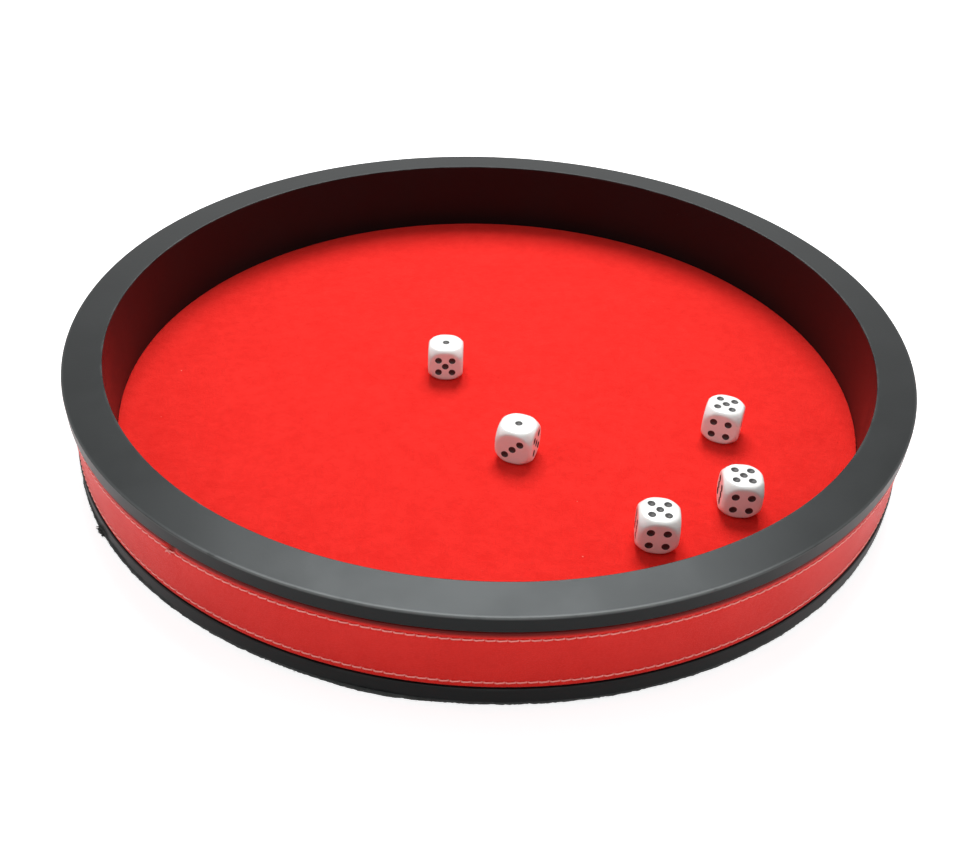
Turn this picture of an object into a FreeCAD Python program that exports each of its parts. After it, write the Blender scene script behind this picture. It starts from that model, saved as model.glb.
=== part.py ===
import FreeCAD, Part
import math
import os

from FreeCAD import Matrix, Placement, Rotation, Vector

# A round dice tray with a stitched band, and the five dice that lie in it.
# Sizes are in millimetres. X runs to the right, Y away from the viewer and Z up.
# The origin is the middle of the underside, on the surface that the tray stands on.

# Wall: three turned rings, glued face to face
TRAY_RADIUS = 180.0
WALL_THICKNESS = 15.6
RIM_RING_HEIGHT = 6.5
CORE_RING_HEIGHT = 27.0
BASE_RING_HEIGHT = 6.5
RIM_EDGE_ROUND = 0.6
LIP_EDGE_ROUND = 0.4

# Floor, from the underside up
UNDERSIDE_FELT_THICKNESS = 1.2
UNDERSIDE_FELT_INSET = 0.3
BOARD_THICKNESS = 3.2
BOARD_REBATE_WIDTH = 9.6
BOARD_FIT = 0.25
FLOOR_FELT_THICKNESS = 1.7
FLOOR_FELT_FIT = 0.2

# Band: a backed leatherette strip in the groove between the lips
BAND_RECESS = 0.8
LEATHERETTE_THICKNESS = 1.0
BACKING_THICKNESS = 0.8
BACKING_EDGE_SETBACK = 0.6
GLUE_LINE = 0.1
BAND_TOP_GAP = 1.7
BAND_BOTTOM_GAP = 0.15
BAND_EDGE_ROUND = 0.4
BAND_JOINT_GAP = 0.4
BAND_JOINT_AZIMUTH = 90.0

# Stitching along the band's two edges
THREAD_DIAMETER = 0.6
THREAD_SEAT_GAP = 0.03
STITCH_PITCH = 3.6
STITCH_LENGTH = 3.1
STITCH_SLANT = 4.0
UPPER_ROW_MARGIN = 2.85
LOWER_ROW_MARGIN = 2.4

# Countersunk screws that hold the board up in its rebate
SCREW_COUNT = 8
SCREW_DIAMETER = 3.0
SCREW_HEAD_DIAMETER = 6.0
SCREW_HEAD_RIM = 0.3
SCREW_HEAD_HEIGHT = 1.9
SCREW_BITE = 4.0
SCREW_POINT_LENGTH = 1.5
SCREW_FIT = 0.1
CROSS_SLOT_LENGTH = 3.4
CROSS_SLOT_WIDTH = 0.7
CROSS_SLOT_DEPTH = 1.1

# Dice
DIE_SIZE = 16.0
DIE_EDGE_ROUND = 1.5
DIE_CORNER_BALL_RADIUS = 10.9
DIE_SEAT_GAP = 0.05
PIP_DIAMETER = 3.0
PIP_DEPTH = 0.6
PIP_SPACING = 3.1
PIP_PAINT_THICKNESS = 0.15

# Each die as it lies: its azimuth, its distance from the middle as a share of the free
# floor's radius, its turn about the vertical from square to the viewer, the face on top
# and the face towards the viewer.
DICE_AS_THROWN = (
    (165.6, 0.139, 1.1, 1, 5),
    (-76.9, 0.367, -17.1, 1, 3),
    (-19.0, 0.700, -19.6, 5, 4),
    (-58.1, 0.808, -3.9, 5, 4),
    (-39.5, 0.850, -3.6, 5, 4),
)

# What follows from the sizes above
INNER_RADIUS = TRAY_RADIUS - WALL_THICKNESS
BASE_RING_BOTTOM = UNDERSIDE_FELT_THICKNESS
CORE_RING_BOTTOM = BASE_RING_BOTTOM + BASE_RING_HEIGHT
RIM_RING_BOTTOM = CORE_RING_BOTTOM + CORE_RING_HEIGHT
TRAY_HEIGHT = RIM_RING_BOTTOM + RIM_RING_HEIGHT
BOARD_TOP = BASE_RING_BOTTOM + BOARD_THICKNESS
FLOOR_TOP = BOARD_TOP + FLOOR_FELT_THICKNESS
REBATE_RADIUS = INNER_RADIUS + BOARD_REBATE_WIDTH
BAND_OUTER_RADIUS = TRAY_RADIUS - BAND_RECESS
BACKING_OUTER_RADIUS = BAND_OUTER_RADIUS - LEATHERETTE_THICKNESS
BACKING_INNER_RADIUS = BACKING_OUTER_RADIUS - BACKING_THICKNESS
CORE_OUTER_RADIUS = BACKING_INNER_RADIUS - GLUE_LINE
BAND_BOTTOM = CORE_RING_BOTTOM + BAND_BOTTOM_GAP
BAND_TOP = RIM_RING_BOTTOM - BAND_TOP_GAP
SCREW_CIRCLE_RADIUS = INNER_RADIUS + BOARD_REBATE_WIDTH / 2
SCREW_LENGTH = BASE_RING_HEIGHT + SCREW_BITE

ORIGIN = Vector(0, 0, 0)
UP = Vector(0, 0, 1)

FACE_NORMALS = {
    1: Vector(0, 0, 1),
    2: Vector(-1, 0, 0),
    3: Vector(0, -1, 0),
    4: Vector(0, 1, 0),
    5: Vector(1, 0, 0),
    6: Vector(0, 0, -1),
}
PIP_LAYOUTS = {
    1: ((0, 0),),
    2: ((-1, -1), (1, 1)),
    3: ((-1, -1), (0, 0), (1, 1)),
    4: ((-1, -1), (-1, 1), (1, -1), (1, 1)),
    5: ((-1, -1), (-1, 1), (0, 0), (1, -1), (1, 1)),
    6: ((-1, -1), (0, -1), (1, -1), (-1, 1), (0, 1), (1, 1)),
}


def turned(profile):
    """A solid turned about the vertical axis from (radius, height) corners."""
    corners = [Vector(radius, 0, height) for radius, height in profile]
    outline = Part.makePolygon(corners + corners[:1])
    return Part.Face(outline).revolve(ORIGIN, UP, 360)


def disc(radius, bottom, top):
    return turned([(0, bottom), (radius, bottom), (radius, top), (0, top)])


def ring(outer, inner, bottom, top):
    return turned([(inner, bottom), (outer, bottom), (outer, top), (inner, top)])


def with_round_edges(solid, edge_round, places):
    """Rounds the circular edges that lie at the given (radius, height) places."""

    def lies_at(edge, radius, height):
        curve = edge.Curve
        if not isinstance(curve, Part.Circle):
            return False
        same_radius = abs(curve.Radius - radius) < 1e-6
        return same_radius and abs(curve.Center.z - height) < 1e-6

    edges = [e for e in solid.Edges if any(lies_at(e, *place) for place in places)]
    return solid.makeFillet(edge_round, edges)


def at_azimuth(shape, azimuth):
    return shape.rotated(ORIGIN, UP, azimuth)


def round_the_tray(shape, count, start):
    """Equal copies of a shape, evenly spaced about the vertical axis."""
    return [at_azimuth(shape, start + 360.0 * i / count) for i in range(count)]


def make_rim_ring():
    solid = ring(TRAY_RADIUS, INNER_RADIUS, RIM_RING_BOTTOM, TRAY_HEIGHT)
    top_edges = [(TRAY_RADIUS, TRAY_HEIGHT), (INNER_RADIUS, TRAY_HEIGHT)]
    solid = with_round_edges(solid, RIM_EDGE_ROUND, top_edges)
    return with_round_edges(solid, LIP_EDGE_ROUND, [(TRAY_RADIUS, RIM_RING_BOTTOM)])


def make_core_ring():
    solid = ring(CORE_OUTER_RADIUS, INNER_RADIUS, CORE_RING_BOTTOM, RIM_RING_BOTTOM)
    return solid.cut(Part.makeCompound(screw_holes()))


def make_base_ring():
    """The lower ring, with a rebate from below that takes the board."""
    solid = turned([
        (INNER_RADIUS, BOARD_TOP),
        (REBATE_RADIUS, BOARD_TOP),
        (REBATE_RADIUS, BASE_RING_BOTTOM),
        (TRAY_RADIUS, BASE_RING_BOTTOM),
        (TRAY_RADIUS, CORE_RING_BOTTOM),
        (INNER_RADIUS, CORE_RING_BOTTOM),
    ])
    lip_edges = [(TRAY_RADIUS, BASE_RING_BOTTOM), (TRAY_RADIUS, CORE_RING_BOTTOM)]
    solid = with_round_edges(solid, LIP_EDGE_ROUND, lip_edges)
    return solid.cut(Part.makeCompound(screw_holes()))


def make_floor_board():
    solid = disc(REBATE_RADIUS - BOARD_FIT, BASE_RING_BOTTOM, BOARD_TOP)
    return solid.cut(Part.makeCompound(screw_holes()))


def make_floor_felt():
    return disc(INNER_RADIUS - FLOOR_FELT_FIT, BOARD_TOP, FLOOR_TOP)


def make_underside_felt():
    return disc(TRAY_RADIUS - UNDERSIDE_FELT_INSET, 0, UNDERSIDE_FELT_THICKNESS)


def band_joint():
    """The upright gap where the two ends of the strip meet."""
    reach = TRAY_RADIUS - CORE_OUTER_RADIUS
    corner = Vector(CORE_OUTER_RADIUS, -BAND_JOINT_GAP / 2, CORE_RING_BOTTOM)
    gap = Part.makeBox(reach, BAND_JOINT_GAP, CORE_RING_HEIGHT, corner)
    return at_azimuth(gap, BAND_JOINT_AZIMUTH)


def make_side_band():
    solid = ring(BAND_OUTER_RADIUS, BACKING_OUTER_RADIUS, BAND_BOTTOM, BAND_TOP)
    folded_edges = [(BAND_OUTER_RADIUS, BAND_BOTTOM), (BAND_OUTER_RADIUS, BAND_TOP)]
    solid = with_round_edges(solid, BAND_EDGE_ROUND, folded_edges)
    return solid.cut(band_joint())


def make_band_backing():
    bottom = BAND_BOTTOM + BACKING_EDGE_SETBACK
    top = BAND_TOP - BACKING_EDGE_SETBACK
    solid = ring(BACKING_OUTER_RADIUS, BACKING_INNER_RADIUS, bottom, top)
    return solid.cut(band_joint())


def make_stitch(height):
    """One stitch with round ends, lying along the band at azimuth 0."""
    radius = THREAD_DIAMETER / 2
    straight = STITCH_LENGTH / 2 - radius
    slope = radius * math.sqrt(0.5)
    tail = Vector(0, 0, -straight - radius)
    tail_middle = Vector(slope, 0, -straight - slope)
    tail_side = Vector(radius, 0, -straight)
    head_side = Vector(radius, 0, straight)
    head_middle = Vector(slope, 0, straight + slope)
    head = Vector(0, 0, straight + radius)
    outline = Part.Wire([
        Part.Arc(tail, tail_middle, tail_side).toShape(),
        Part.LineSegment(tail_side, head_side).toShape(),
        Part.Arc(head_side, head_middle, head).toShape(),
        Part.LineSegment(head, tail).toShape(),
    ])
    stitch = Part.Face(outline).revolve(ORIGIN, UP, 360)
    stitch.rotate(ORIGIN, Vector(1, 0, 0), 90 + STITCH_SLANT)
    stitch.translate(Vector(BAND_OUTER_RADIUS + radius + THREAD_SEAT_GAP, 0, height))
    return stitch


def make_stitching(height):
    """A row of stitches. The band's joint falls midway between two of them."""
    count = round(2 * math.pi * BAND_OUTER_RADIUS / STITCH_PITCH)
    start = BAND_JOINT_AZIMUTH + 180.0 / count
    return Part.makeCompound(round_the_tray(make_stitch(height), count, start))


def screw_profile(fit):
    """Corners of a screw, head down, or of the hole that takes it with a clearance."""
    shank = SCREW_DIAMETER / 2 + fit
    head = SCREW_HEAD_DIAMETER / 2 + fit
    tip = SCREW_LENGTH + fit
    return [
        (0, BASE_RING_BOTTOM),
        (head, BASE_RING_BOTTOM),
        (head, BASE_RING_BOTTOM + SCREW_HEAD_RIM + fit),
        (shank, BASE_RING_BOTTOM + SCREW_HEAD_HEIGHT + fit),
        (shank, BASE_RING_BOTTOM + tip - SCREW_POINT_LENGTH),
        (0, BASE_RING_BOTTOM + tip),
    ]


def on_screw_circle(shape):
    shape.translate(Vector(SCREW_CIRCLE_RADIUS, 0, 0))
    return round_the_tray(shape, SCREW_COUNT, 180.0 / SCREW_COUNT)


def screw_holes():
    return on_screw_circle(turned(screw_profile(SCREW_FIT)))


def make_board_screws():
    screw = turned(screw_profile(0))
    for length, width in (
        (CROSS_SLOT_LENGTH, CROSS_SLOT_WIDTH),
        (CROSS_SLOT_WIDTH, CROSS_SLOT_LENGTH),
    ):
        corner = Vector(-length / 2, -width / 2, BASE_RING_BOTTOM)
        screw = screw.cut(Part.makeBox(length, width, CROSS_SLOT_DEPTH, corner))
    return Part.makeCompound(on_screw_circle(screw))


def die_blank():
    """A cube with round edges, its corners taken off by a ball about its middle."""
    half = DIE_SIZE / 2
    cube = Part.makeBox(DIE_SIZE, DIE_SIZE, DIE_SIZE, Vector(-half, -half, -half))
    cube = cube.makeFillet(DIE_EDGE_ROUND, cube.Edges)
    return cube.common(Part.makeSphere(DIE_CORNER_BALL_RADIUS))


def pip_balls(lift):
    """The balls that press the pips into a die, raised out of its faces by a lift."""
    radius = (PIP_DIAMETER ** 2 / 4 + PIP_DEPTH ** 2) / (2 * PIP_DEPTH)
    balls = []
    for value, normal in FACE_NORMALS.items():
        along = Vector(0, 1, 0) if normal.x else Vector(1, 0, 0)
        across = normal.cross(along)
        for column, row in PIP_LAYOUTS[value]:
            centre = normal * (DIE_SIZE / 2 - PIP_DEPTH + radius + lift)
            centre += along * (column * PIP_SPACING) + across * (row * PIP_SPACING)
            balls.append(Part.makeSphere(radius, centre))
    return balls


def make_die():
    """The white body and the painted pips of one die, about its own middle."""
    blank = die_blank()
    body = blank.cut(Part.makeCompound(pip_balls(0)))
    pairs = zip(pip_balls(0), pip_balls(PIP_PAINT_THICKNESS))
    paint = [blank.common(dimple).cut(bare) for dimple, bare in pairs]
    return body, Part.makeCompound(paint)


def faces_laid(top, front):
    """The turn that brings one face of a die to the top and another to the front."""
    up = FACE_NORMALS[top]
    towards = FACE_NORMALS[front]
    side = up.cross(towards)
    rows = (side, towards * -1, up)
    cells = []
    for row in rows:
        cells += [row.x, row.y, row.z, 0]
    return Placement(Matrix(*cells, 0, 0, 0, 1))


def die_placement(azimuth, share, turn, top, front):
    free_radius = INNER_RADIUS - DIE_SIZE / math.sqrt(2)
    out = Rotation(UP, azimuth).multVec(Vector(share * free_radius, 0, 0))
    place = out + Vector(0, 0, FLOOR_TOP + DIE_SEAT_GAP + DIE_SIZE / 2)
    return Placement(place, Rotation(UP, turn)).multiply(faces_laid(top, front))


def make_dice():
    body, paint = make_die()
    dice = {}
    for number, thrown in enumerate(DICE_AS_THROWN, start=1):
        matrix = die_placement(*thrown).toMatrix()
        dice[f"die_{number}"] = body.transformed(matrix)
        dice[f"die_{number}_pips"] = paint.transformed(matrix)
    return dice


pieces = {
    "rim_ring": make_rim_ring(),
    "core_ring": make_core_ring(),
    "base_ring": make_base_ring(),
    "floor_board": make_floor_board(),
    "board_screws": make_board_screws(),
    "floor_felt": make_floor_felt(),
    "underside_felt": make_underside_felt(),
    "side_band": make_side_band(),
    "band_backing": make_band_backing(),
    "upper_stitching": make_stitching(BAND_TOP - UPPER_ROW_MARGIN),
    "lower_stitching": make_stitching(BAND_BOTTOM + LOWER_ROW_MARGIN),
    **make_dice(),
}

os.makedirs("parts", exist_ok=True)
for name, shape in pieces.items():
    shape.exportStep(f"parts/{name}.step")
    solids = len(shape.Solids)
    print(f"{name}: {solids} solids, {shape.Volume:.1f} mm3, valid {shape.isValid()}")
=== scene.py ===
import functools
import math
import random

import bmesh
import bpy
from mathutils import Matrix, Vector, noise


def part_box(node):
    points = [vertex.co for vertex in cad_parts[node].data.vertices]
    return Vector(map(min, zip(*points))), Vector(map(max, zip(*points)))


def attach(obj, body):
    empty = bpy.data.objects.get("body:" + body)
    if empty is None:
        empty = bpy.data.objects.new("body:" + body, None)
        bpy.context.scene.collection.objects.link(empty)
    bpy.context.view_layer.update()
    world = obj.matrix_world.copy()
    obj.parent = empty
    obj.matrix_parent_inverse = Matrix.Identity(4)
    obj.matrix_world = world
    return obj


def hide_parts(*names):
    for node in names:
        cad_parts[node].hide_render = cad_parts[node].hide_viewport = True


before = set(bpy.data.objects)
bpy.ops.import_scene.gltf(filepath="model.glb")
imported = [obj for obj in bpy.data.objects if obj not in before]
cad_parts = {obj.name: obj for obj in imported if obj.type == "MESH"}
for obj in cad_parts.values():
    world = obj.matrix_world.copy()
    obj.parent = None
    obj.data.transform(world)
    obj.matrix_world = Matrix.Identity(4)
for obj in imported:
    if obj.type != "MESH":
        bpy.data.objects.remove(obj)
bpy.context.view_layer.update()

bl_info = {
    "name": "Round dice tray",
    "version": (1, 0, 0),
    "blender": (4, 5, 0),
    "location": "3D View > Sidebar > Dice tray",
    "description": "Dresses a round felt-lined tray with its stitched band and five dice",
    "category": "Object",
}

# Lengths are in metres. X runs to the right, Y away from the viewer and Z up, and the
# tray stands on the plane where Z is 0.
MM = 0.001
UP = Vector((0, 0, 1))
TRAY_BODY = "tray"

# What a full turn in small steps may add to a radius, and how near two points are one
TURNING_ERROR = 0.02 * MM
SAME_PLACE = 1e-7

# Clearances between the pieces
FLOOR_FELT_FIT = 0.2 * MM
BOARD_FIT = 0.25 * MM
GLUE_LINE = 0.1 * MM
BACKING_FIT = 0.02 * MM

# Edges that turn more than this are left crisp, and rounded ones get this many faces across
CREASE = math.radians(30)
ROUNDING_FACES = 4

# Steps round the tray
WALL_STEPS = 360
FELT_STEPS = 100
FELT_STEP_CUTS = 3
UNDERSIDE_FELT_STEPS = 720
STEPS_PER_STITCH = 6

# The red felt's soft edge, how much of its clearance it leaves open, and its rings of faces
FELT_SOFT_EDGE = 0.2 * MM
FELT_WALL_GAP = 0.04 * MM
FELT_RINGS = 130

# How wide the red felt's slow and quick waves are, and the notches of the underside felt
FELT_WAVES = (50 * MM, 6 * MM)
NOTCH_WIDTH = 4 * MM

# Where the cut edge of the underside felt stands out: the azimuth and the half width in
# degrees, and how far; and how ragged the whole edge is
UNDERSIDE_FELT_BULGES = (
    (-146, 20, 0.8 * MM),
    (-101, 6, 0.8 * MM),
)
UNDERSIDE_FELT_RAGGED = 0.22 * MM

# Loose fibres on the underside felt, how deep they are rooted and how far they spread up and
# down, and a thick tuft of longer ones
FIBRE_RADIUS = 0.06 * MM
FIBRE_ROOT = 0.3 * MM
FIBRE_SPREAD = 0.6 * MM
FIBRE_KINDS = 12
FRINGE_FIBRES = 1500
TUFT_FIBRES = 170
TUFT_AZIMUTH = math.radians(-144)
TUFT_SPREAD = math.radians(0.4)
TUFT_SIZE = 2.0

# How far the strip's face may be pressed in, and the half widths of the channel under a row of
# thread and of a needle hole
STRIP_DEEPEST = 0.93 * MM
CHANNEL_WIDTH = 0.75 * MM
HOLE_WIDTH = 0.45 * MM

# Where the strip's upper edge is dented and pulled down: how deep and how far, each with its half
# width, and how far down from the edge it reaches
DENT_AZIMUTH = math.radians(-125.6)
DENT_DEPTH, DEPTH_WIDTH = 0.9 * MM, 2.5 * MM
DENT_DROP, DROP_WIDTH = 1.3 * MM, 2.6 * MM
DENT_REACH = 2.2 * MM

# How far a stitch stands proud of the strip, how deep its ends dive and how flat it is pressed
THREAD_PROUD = 0.12 * MM
THREAD_DIVE = 1.1 * MM
THREAD_FLATNESS = 0.55
STITCH_KINDS = 7

# Where the upper row was begun, and its loose ends: how far each hangs down, how far it runs
# along the row and how much it bends, in millimetres
THREAD_END_AZIMUTH = math.radians(-126.1)
THREAD_ENDS = ((1.2, 1.1, 0.4), (1.7, -1.5, 0.3), (0.6, -0.5, 1.0))

# How strongly the floor glows where it is seen, so that it shows white: this much up to the
# first distance from the tray's middle, where the lamps light it too, and fully past the second
FLOOR_GLOW = 0.64
FLOOR_GLOW_SPAN = (0.35, 1.2)

# The share of that glow which shows in glossy surfaces, and how near the floor a surface
# stands on it
GLOSSY_GLOW = 0.15
CONTACT = 1 * MM

# The width of the camera's sensor, in millimetres
SENSOR_WIDTH = 36

# Where each softbox stands, its width and height, and its power in watts
SOFTBOXES = {
    "back_softbox": ((0, 1.08, 1.68), (1.15, 1.1), 46),
    "front_softbox": ((0, -1.3, 1.5), (1.6, 1.2), 4),
    "left_softbox": ((-1.6, 0.1, 0.9), (1.6, 1.6), 8),
    "right_softbox": ((1.6, 0.1, 0.9), (1.6, 1.6), 8),
}


@functools.cache
def corners_of(node):
    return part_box(node)


def radius_of(node):
    low, high = corners_of(node)
    return max(high.x, high.y, -low.x, -low.y)


def bottom_of(node):
    return corners_of(node)[0].z


def top_of(node):
    return corners_of(node)[1].z


def heights_of(node):
    return bottom_of(node), top_of(node)


def middle_of(node):
    low, high = corners_of(node)
    return (low + high) / 2


def length_setting(name, description, default):
    return bpy.props.FloatProperty(
        name=name, description=description, default=default, unit="LENGTH", precision=5
    )


def color_setting(name, description, default):
    return bpy.props.FloatVectorProperty(
        name=name, description=description, default=default, subtype="COLOR", min=0, max=1
    )


def angle_setting(name, description, degrees):
    return bpy.props.FloatProperty(
        name=name, description=description, default=math.radians(degrees), unit="ROTATION"
    )


class WallSettings(bpy.types.PropertyGroup):
    """The three turned rings of the wall."""

    outer_radius: length_setting("Outer radius", "Of the two lips", radius_of("rim_ring"))
    inner_radius: length_setting(
        "Inner radius", "Of the inside of the wall", radius_of("floor_felt") + FLOOR_FELT_FIT
    )
    rim_round: length_setting("Rim rounding", "Of the two edges of the flat rim", 0.4 * MM)
    lip_round: length_setting("Lip rounding", "Of the other outside edges", 0.4 * MM)
    lacquer: color_setting("Lacquer", "Black satin lacquer", (0.005, 0.0055, 0.0055))
    # Pale grey: a painted highlight along the rim's outer top edge, and rubbed wear and dust elsewhere
    wear_and_highlight: color_setting("Rubbed edge", "Lacquer where hands rub it", (0.2, 0.21, 0.207))


class FloorSettings(bpy.types.PropertyGroup):
    """The felts, and the board between them."""

    felt: color_setting("Felt", "Red felt that the dice land on", (0.85, 0.026, 0.02))
    felt_hollow: color_setting("Felt hollows", "Red felt deep in its nap", (0.74, 0.016, 0.012))
    felt_wave: length_setting("Felt unevenness", "Depth of the felt's soft waves", 0.12 * MM)
    under_felt: color_setting("Underside felt", "Dark grey felt", (0.045, 0.048, 0.046))
    fringe: length_setting("Ragged edge", "How far the fibres stand out", 0.9 * MM)
    board: color_setting("Board", "Brown hardboard", (0.33, 0.2, 0.11))


class BandSettings(bpy.types.PropertyGroup):
    """The leatherette strip in the groove, and its backing."""

    radius: length_setting("Radius", "Of the strip's face", radius_of("side_band"))
    joint_gap: length_setting("Joint", "Gap between the strip's two ends", 0.4 * MM)
    joint_azimuth: angle_setting("Joint azimuth", "Where the two ends meet", 90)
    channel: length_setting("Channel", "How deep the thread pulls the strip in", 0.2 * MM)
    pinch: length_setting("Pinch", "How much deeper a needle hole is", 0.12 * MM)
    upper_roll: length_setting("Upper roll", "Height over which the upper edge rolls in", 1.7 * MM)
    lower_roll: length_setting("Lower roll", "Height over which the lower edge rolls in", 0.38 * MM)
    leatherette: color_setting("Leatherette", "Red satin face", (0.92, 0.022, 0.014))
    leatherette_deep: color_setting("Grain hollows", "Red between the grains", (0.8, 0.016, 0.01))
    # Painted shade: dark red along the strip's upper edge under the lip, and along its lower edge
    painted_edge_shade: color_setting("Soiled edge", "Dark red along the strip's edges", (0.2, 0.008, 0.006))
    # Painted shade in the dent beside the loose thread, where the groove above the strip lies in
    # shadow
    painted_dent_shade: color_setting("Dirt", "Caught in the dent beside the loose thread", (0.05, 0.018, 0.01))
    cloth: color_setting("Backing", "Woven cloth under the strip", (0.3, 0.05, 0.04))


class ThreadSettings(bpy.types.PropertyGroup):
    """The two rows of stitches along the strip."""

    count: bpy.props.IntProperty(name="Stitches", description="In each row", default=313)
    length: length_setting("Stitch length", "From one needle hole to the next", 3.1 * MM)
    radius: length_setting("Thread radius", "Of the twisted thread", 0.38 * MM)
    slant: angle_setting("Slant", "Of a stitch against its row", 4.0)
    color: color_setting("Thread", "Pale pink thread", (1.0, 0.2, 0.16))


class DiceSettings(bpy.types.PropertyGroup):
    """The five dice."""

    size: length_setting("Size", "Across two faces", top_of("die_1") - bottom_of("die_1"))
    edge_round: length_setting("Edge rounding", "Of the twelve edges", 1.5 * MM)
    corner_ball: length_setting("Corner ball", "Radius that the corners are turned to", 10.85 * MM)
    pip_diameter: length_setting("Pip diameter", "Across a dimple", 3.0 * MM)
    pip_depth: length_setting("Pip depth", "Of a dimple", 0.6 * MM)
    pip_spacing: length_setting("Pip spacing", "Between neighbouring pips", 3.1 * MM)
    resin: color_setting("Resin", "White body", (0.84, 0.84, 0.828))
    paint: color_setting("Paint", "Black enamel in the pips", (0.012, 0.011, 0.011))


class StageSettings(bpy.types.PropertyGroup):
    """The floor, the lamps and the camera."""

    floor_radius: length_setting("Floor radius", "Of the pale floor", 4.0)
    floor: color_setting("Floor", "Pale floor", (0.86, 0.86, 0.86))
    surround: color_setting("Surround", "Light from all round", (0.28, 0.285, 0.29))
    camera_place: bpy.props.FloatVectorProperty(
        name="Camera place", description="Of the camera", default=(0.0001, -0.3943, 0.2731),
        unit="LENGTH",
    )
    camera_pitch: angle_setting("Camera pitch", "Down from the horizon", 36.649)
    camera_yaw: angle_setting("Camera yaw", "To the right of straight ahead", 0.14)
    camera_roll: angle_setting("Camera roll", "Anticlockwise", 2.411)
    camera_lens: bpy.props.FloatProperty(
        name="Lens", description="Focal length", default=37.736, unit="CAMERA"
    )


class DiceTraySettings(bpy.types.PropertyGroup):
    """All that a user would change."""

    wall: bpy.props.PointerProperty(type=WallSettings)
    floor: bpy.props.PointerProperty(type=FloorSettings)
    band: bpy.props.PointerProperty(type=BandSettings)
    thread: bpy.props.PointerProperty(type=ThreadSettings)
    dice: bpy.props.PointerProperty(type=DiceSettings)
    stage: bpy.props.PointerProperty(type=StageSettings)


# Node graphs


def add_node(tree, kind, inputs=None, **settings):
    """A new node, its inputs given as values or as the sockets that feed them."""
    made = tree.nodes.new(kind)
    for setting, value in settings.items():
        setattr(made, setting, value)
    for socket, value in (inputs or {}).items():
        if isinstance(value, bpy.types.NodeSocket):
            tree.links.new(value, made.inputs[socket])
        else:
            made.inputs[socket].default_value = value
    return made


def add_math(tree, operation, *values):
    made = add_node(tree, "ShaderNodeMath", dict(enumerate(values)), operation=operation)
    return made.outputs[0]


def times(tree, first, second):
    return add_math(tree, "MULTIPLY", first, second)


def highest(tree, *values):
    """The largest of some values."""
    return functools.reduce(functools.partial(add_math, tree, "MAXIMUM"), values)


def add_vector_math(tree, operation, *vectors):
    """What comes of some vectors: a vector, or a "Value" for a length or a distance."""
    inputs = dict(enumerate(vectors))
    return add_node(tree, "ShaderNodeVectorMath", inputs, operation=operation).outputs


def add_noise(tree, place, scale, **values):
    inputs = {"Vector": place, "Scale": scale, **values}
    return add_node(tree, "ShaderNodeTexNoise", inputs).outputs


def add_mix(tree, factor, first, second):
    """The mix of two colours by a factor."""
    inputs = {"Factor": factor, 6: first, 7: second}
    return add_node(tree, "ShaderNodeMix", inputs, data_type="RGBA").outputs[2]


def add_range(tree, value, low, high, to_low=0.0, to_high=1.0):
    """A value brought smoothly from one range to another."""
    inputs = {
        "Value": value, "From Min": low, "From Max": high, "To Min": to_low, "To Max": to_high,
    }
    made = add_node(tree, "ShaderNodeMapRange", inputs, interpolation_type="SMOOTHSTEP")
    return made.outputs["Result"]


def new_group(name, inputs, outputs):
    """An empty node group with float sockets, beside its vector, and its two end nodes."""
    group = bpy.data.node_groups.new(name, "ShaderNodeTree")
    group.interface.new_socket("Vector", in_out="INPUT", socket_type="NodeSocketVector")
    for label, value in inputs.items():
        socket = group.interface.new_socket(label, in_out="INPUT", socket_type="NodeSocketFloat")
        socket.default_value = value
    for label in outputs:
        group.interface.new_socket(label, in_out="OUTPUT", socket_type="NodeSocketFloat")
    return group, group.nodes.new("NodeGroupInput").outputs, group.nodes.new("NodeGroupOutput").inputs


def add_effect(tree, effect, vector, **values):
    """Places a shared effect, built on its first use, with the material's own values."""
    inputs = {"Vector": vector}
    inputs.update({label.replace("_", " "): value for label, value in values.items()})
    name = effect.__name__
    group = bpy.data.node_groups.get(name) or effect(name)
    return add_node(tree, "ShaderNodeGroup", inputs, node_tree=group).outputs


def soft_mottle(name):
    """Slow, cloudy change over a surface, from 0 to 1."""
    group, given, result = new_group(name, {"Patch size": 0.02, "Detail": 3.0}, ["Value"])
    scale = add_math(group, "DIVIDE", 1.0, given["Patch size"])
    cloud = add_noise(group, given["Vector"], scale, Detail=given["Detail"], Roughness=0.6)
    group.links.new(add_range(group, cloud["Fac"], 0.3, 0.7), result["Value"])
    return group


def dust_flecks(name):
    """Small separate specks, 1 on a speck and 0 between them."""
    group, given, result = new_group(name, {"Spacing": 0.006, "Size": 0.12, "Share": 0.3}, ["Mask"])
    scale = add_math(group, "DIVIDE", 1.0, given["Spacing"])
    cells = add_node(group, "ShaderNodeTexVoronoi", {"Vector": given["Vector"], "Scale": scale})
    lot = add_node(group, "ShaderNodeSeparateColor", {"Color": cells.outputs["Color"]}).outputs["Red"]
    chosen = add_math(group, "LESS_THAN", lot, given["Share"])
    near = add_math(group, "LESS_THAN", cells.outputs["Distance"], given["Size"])
    group.links.new(times(group, chosen, near), result["Mask"])
    return group


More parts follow.
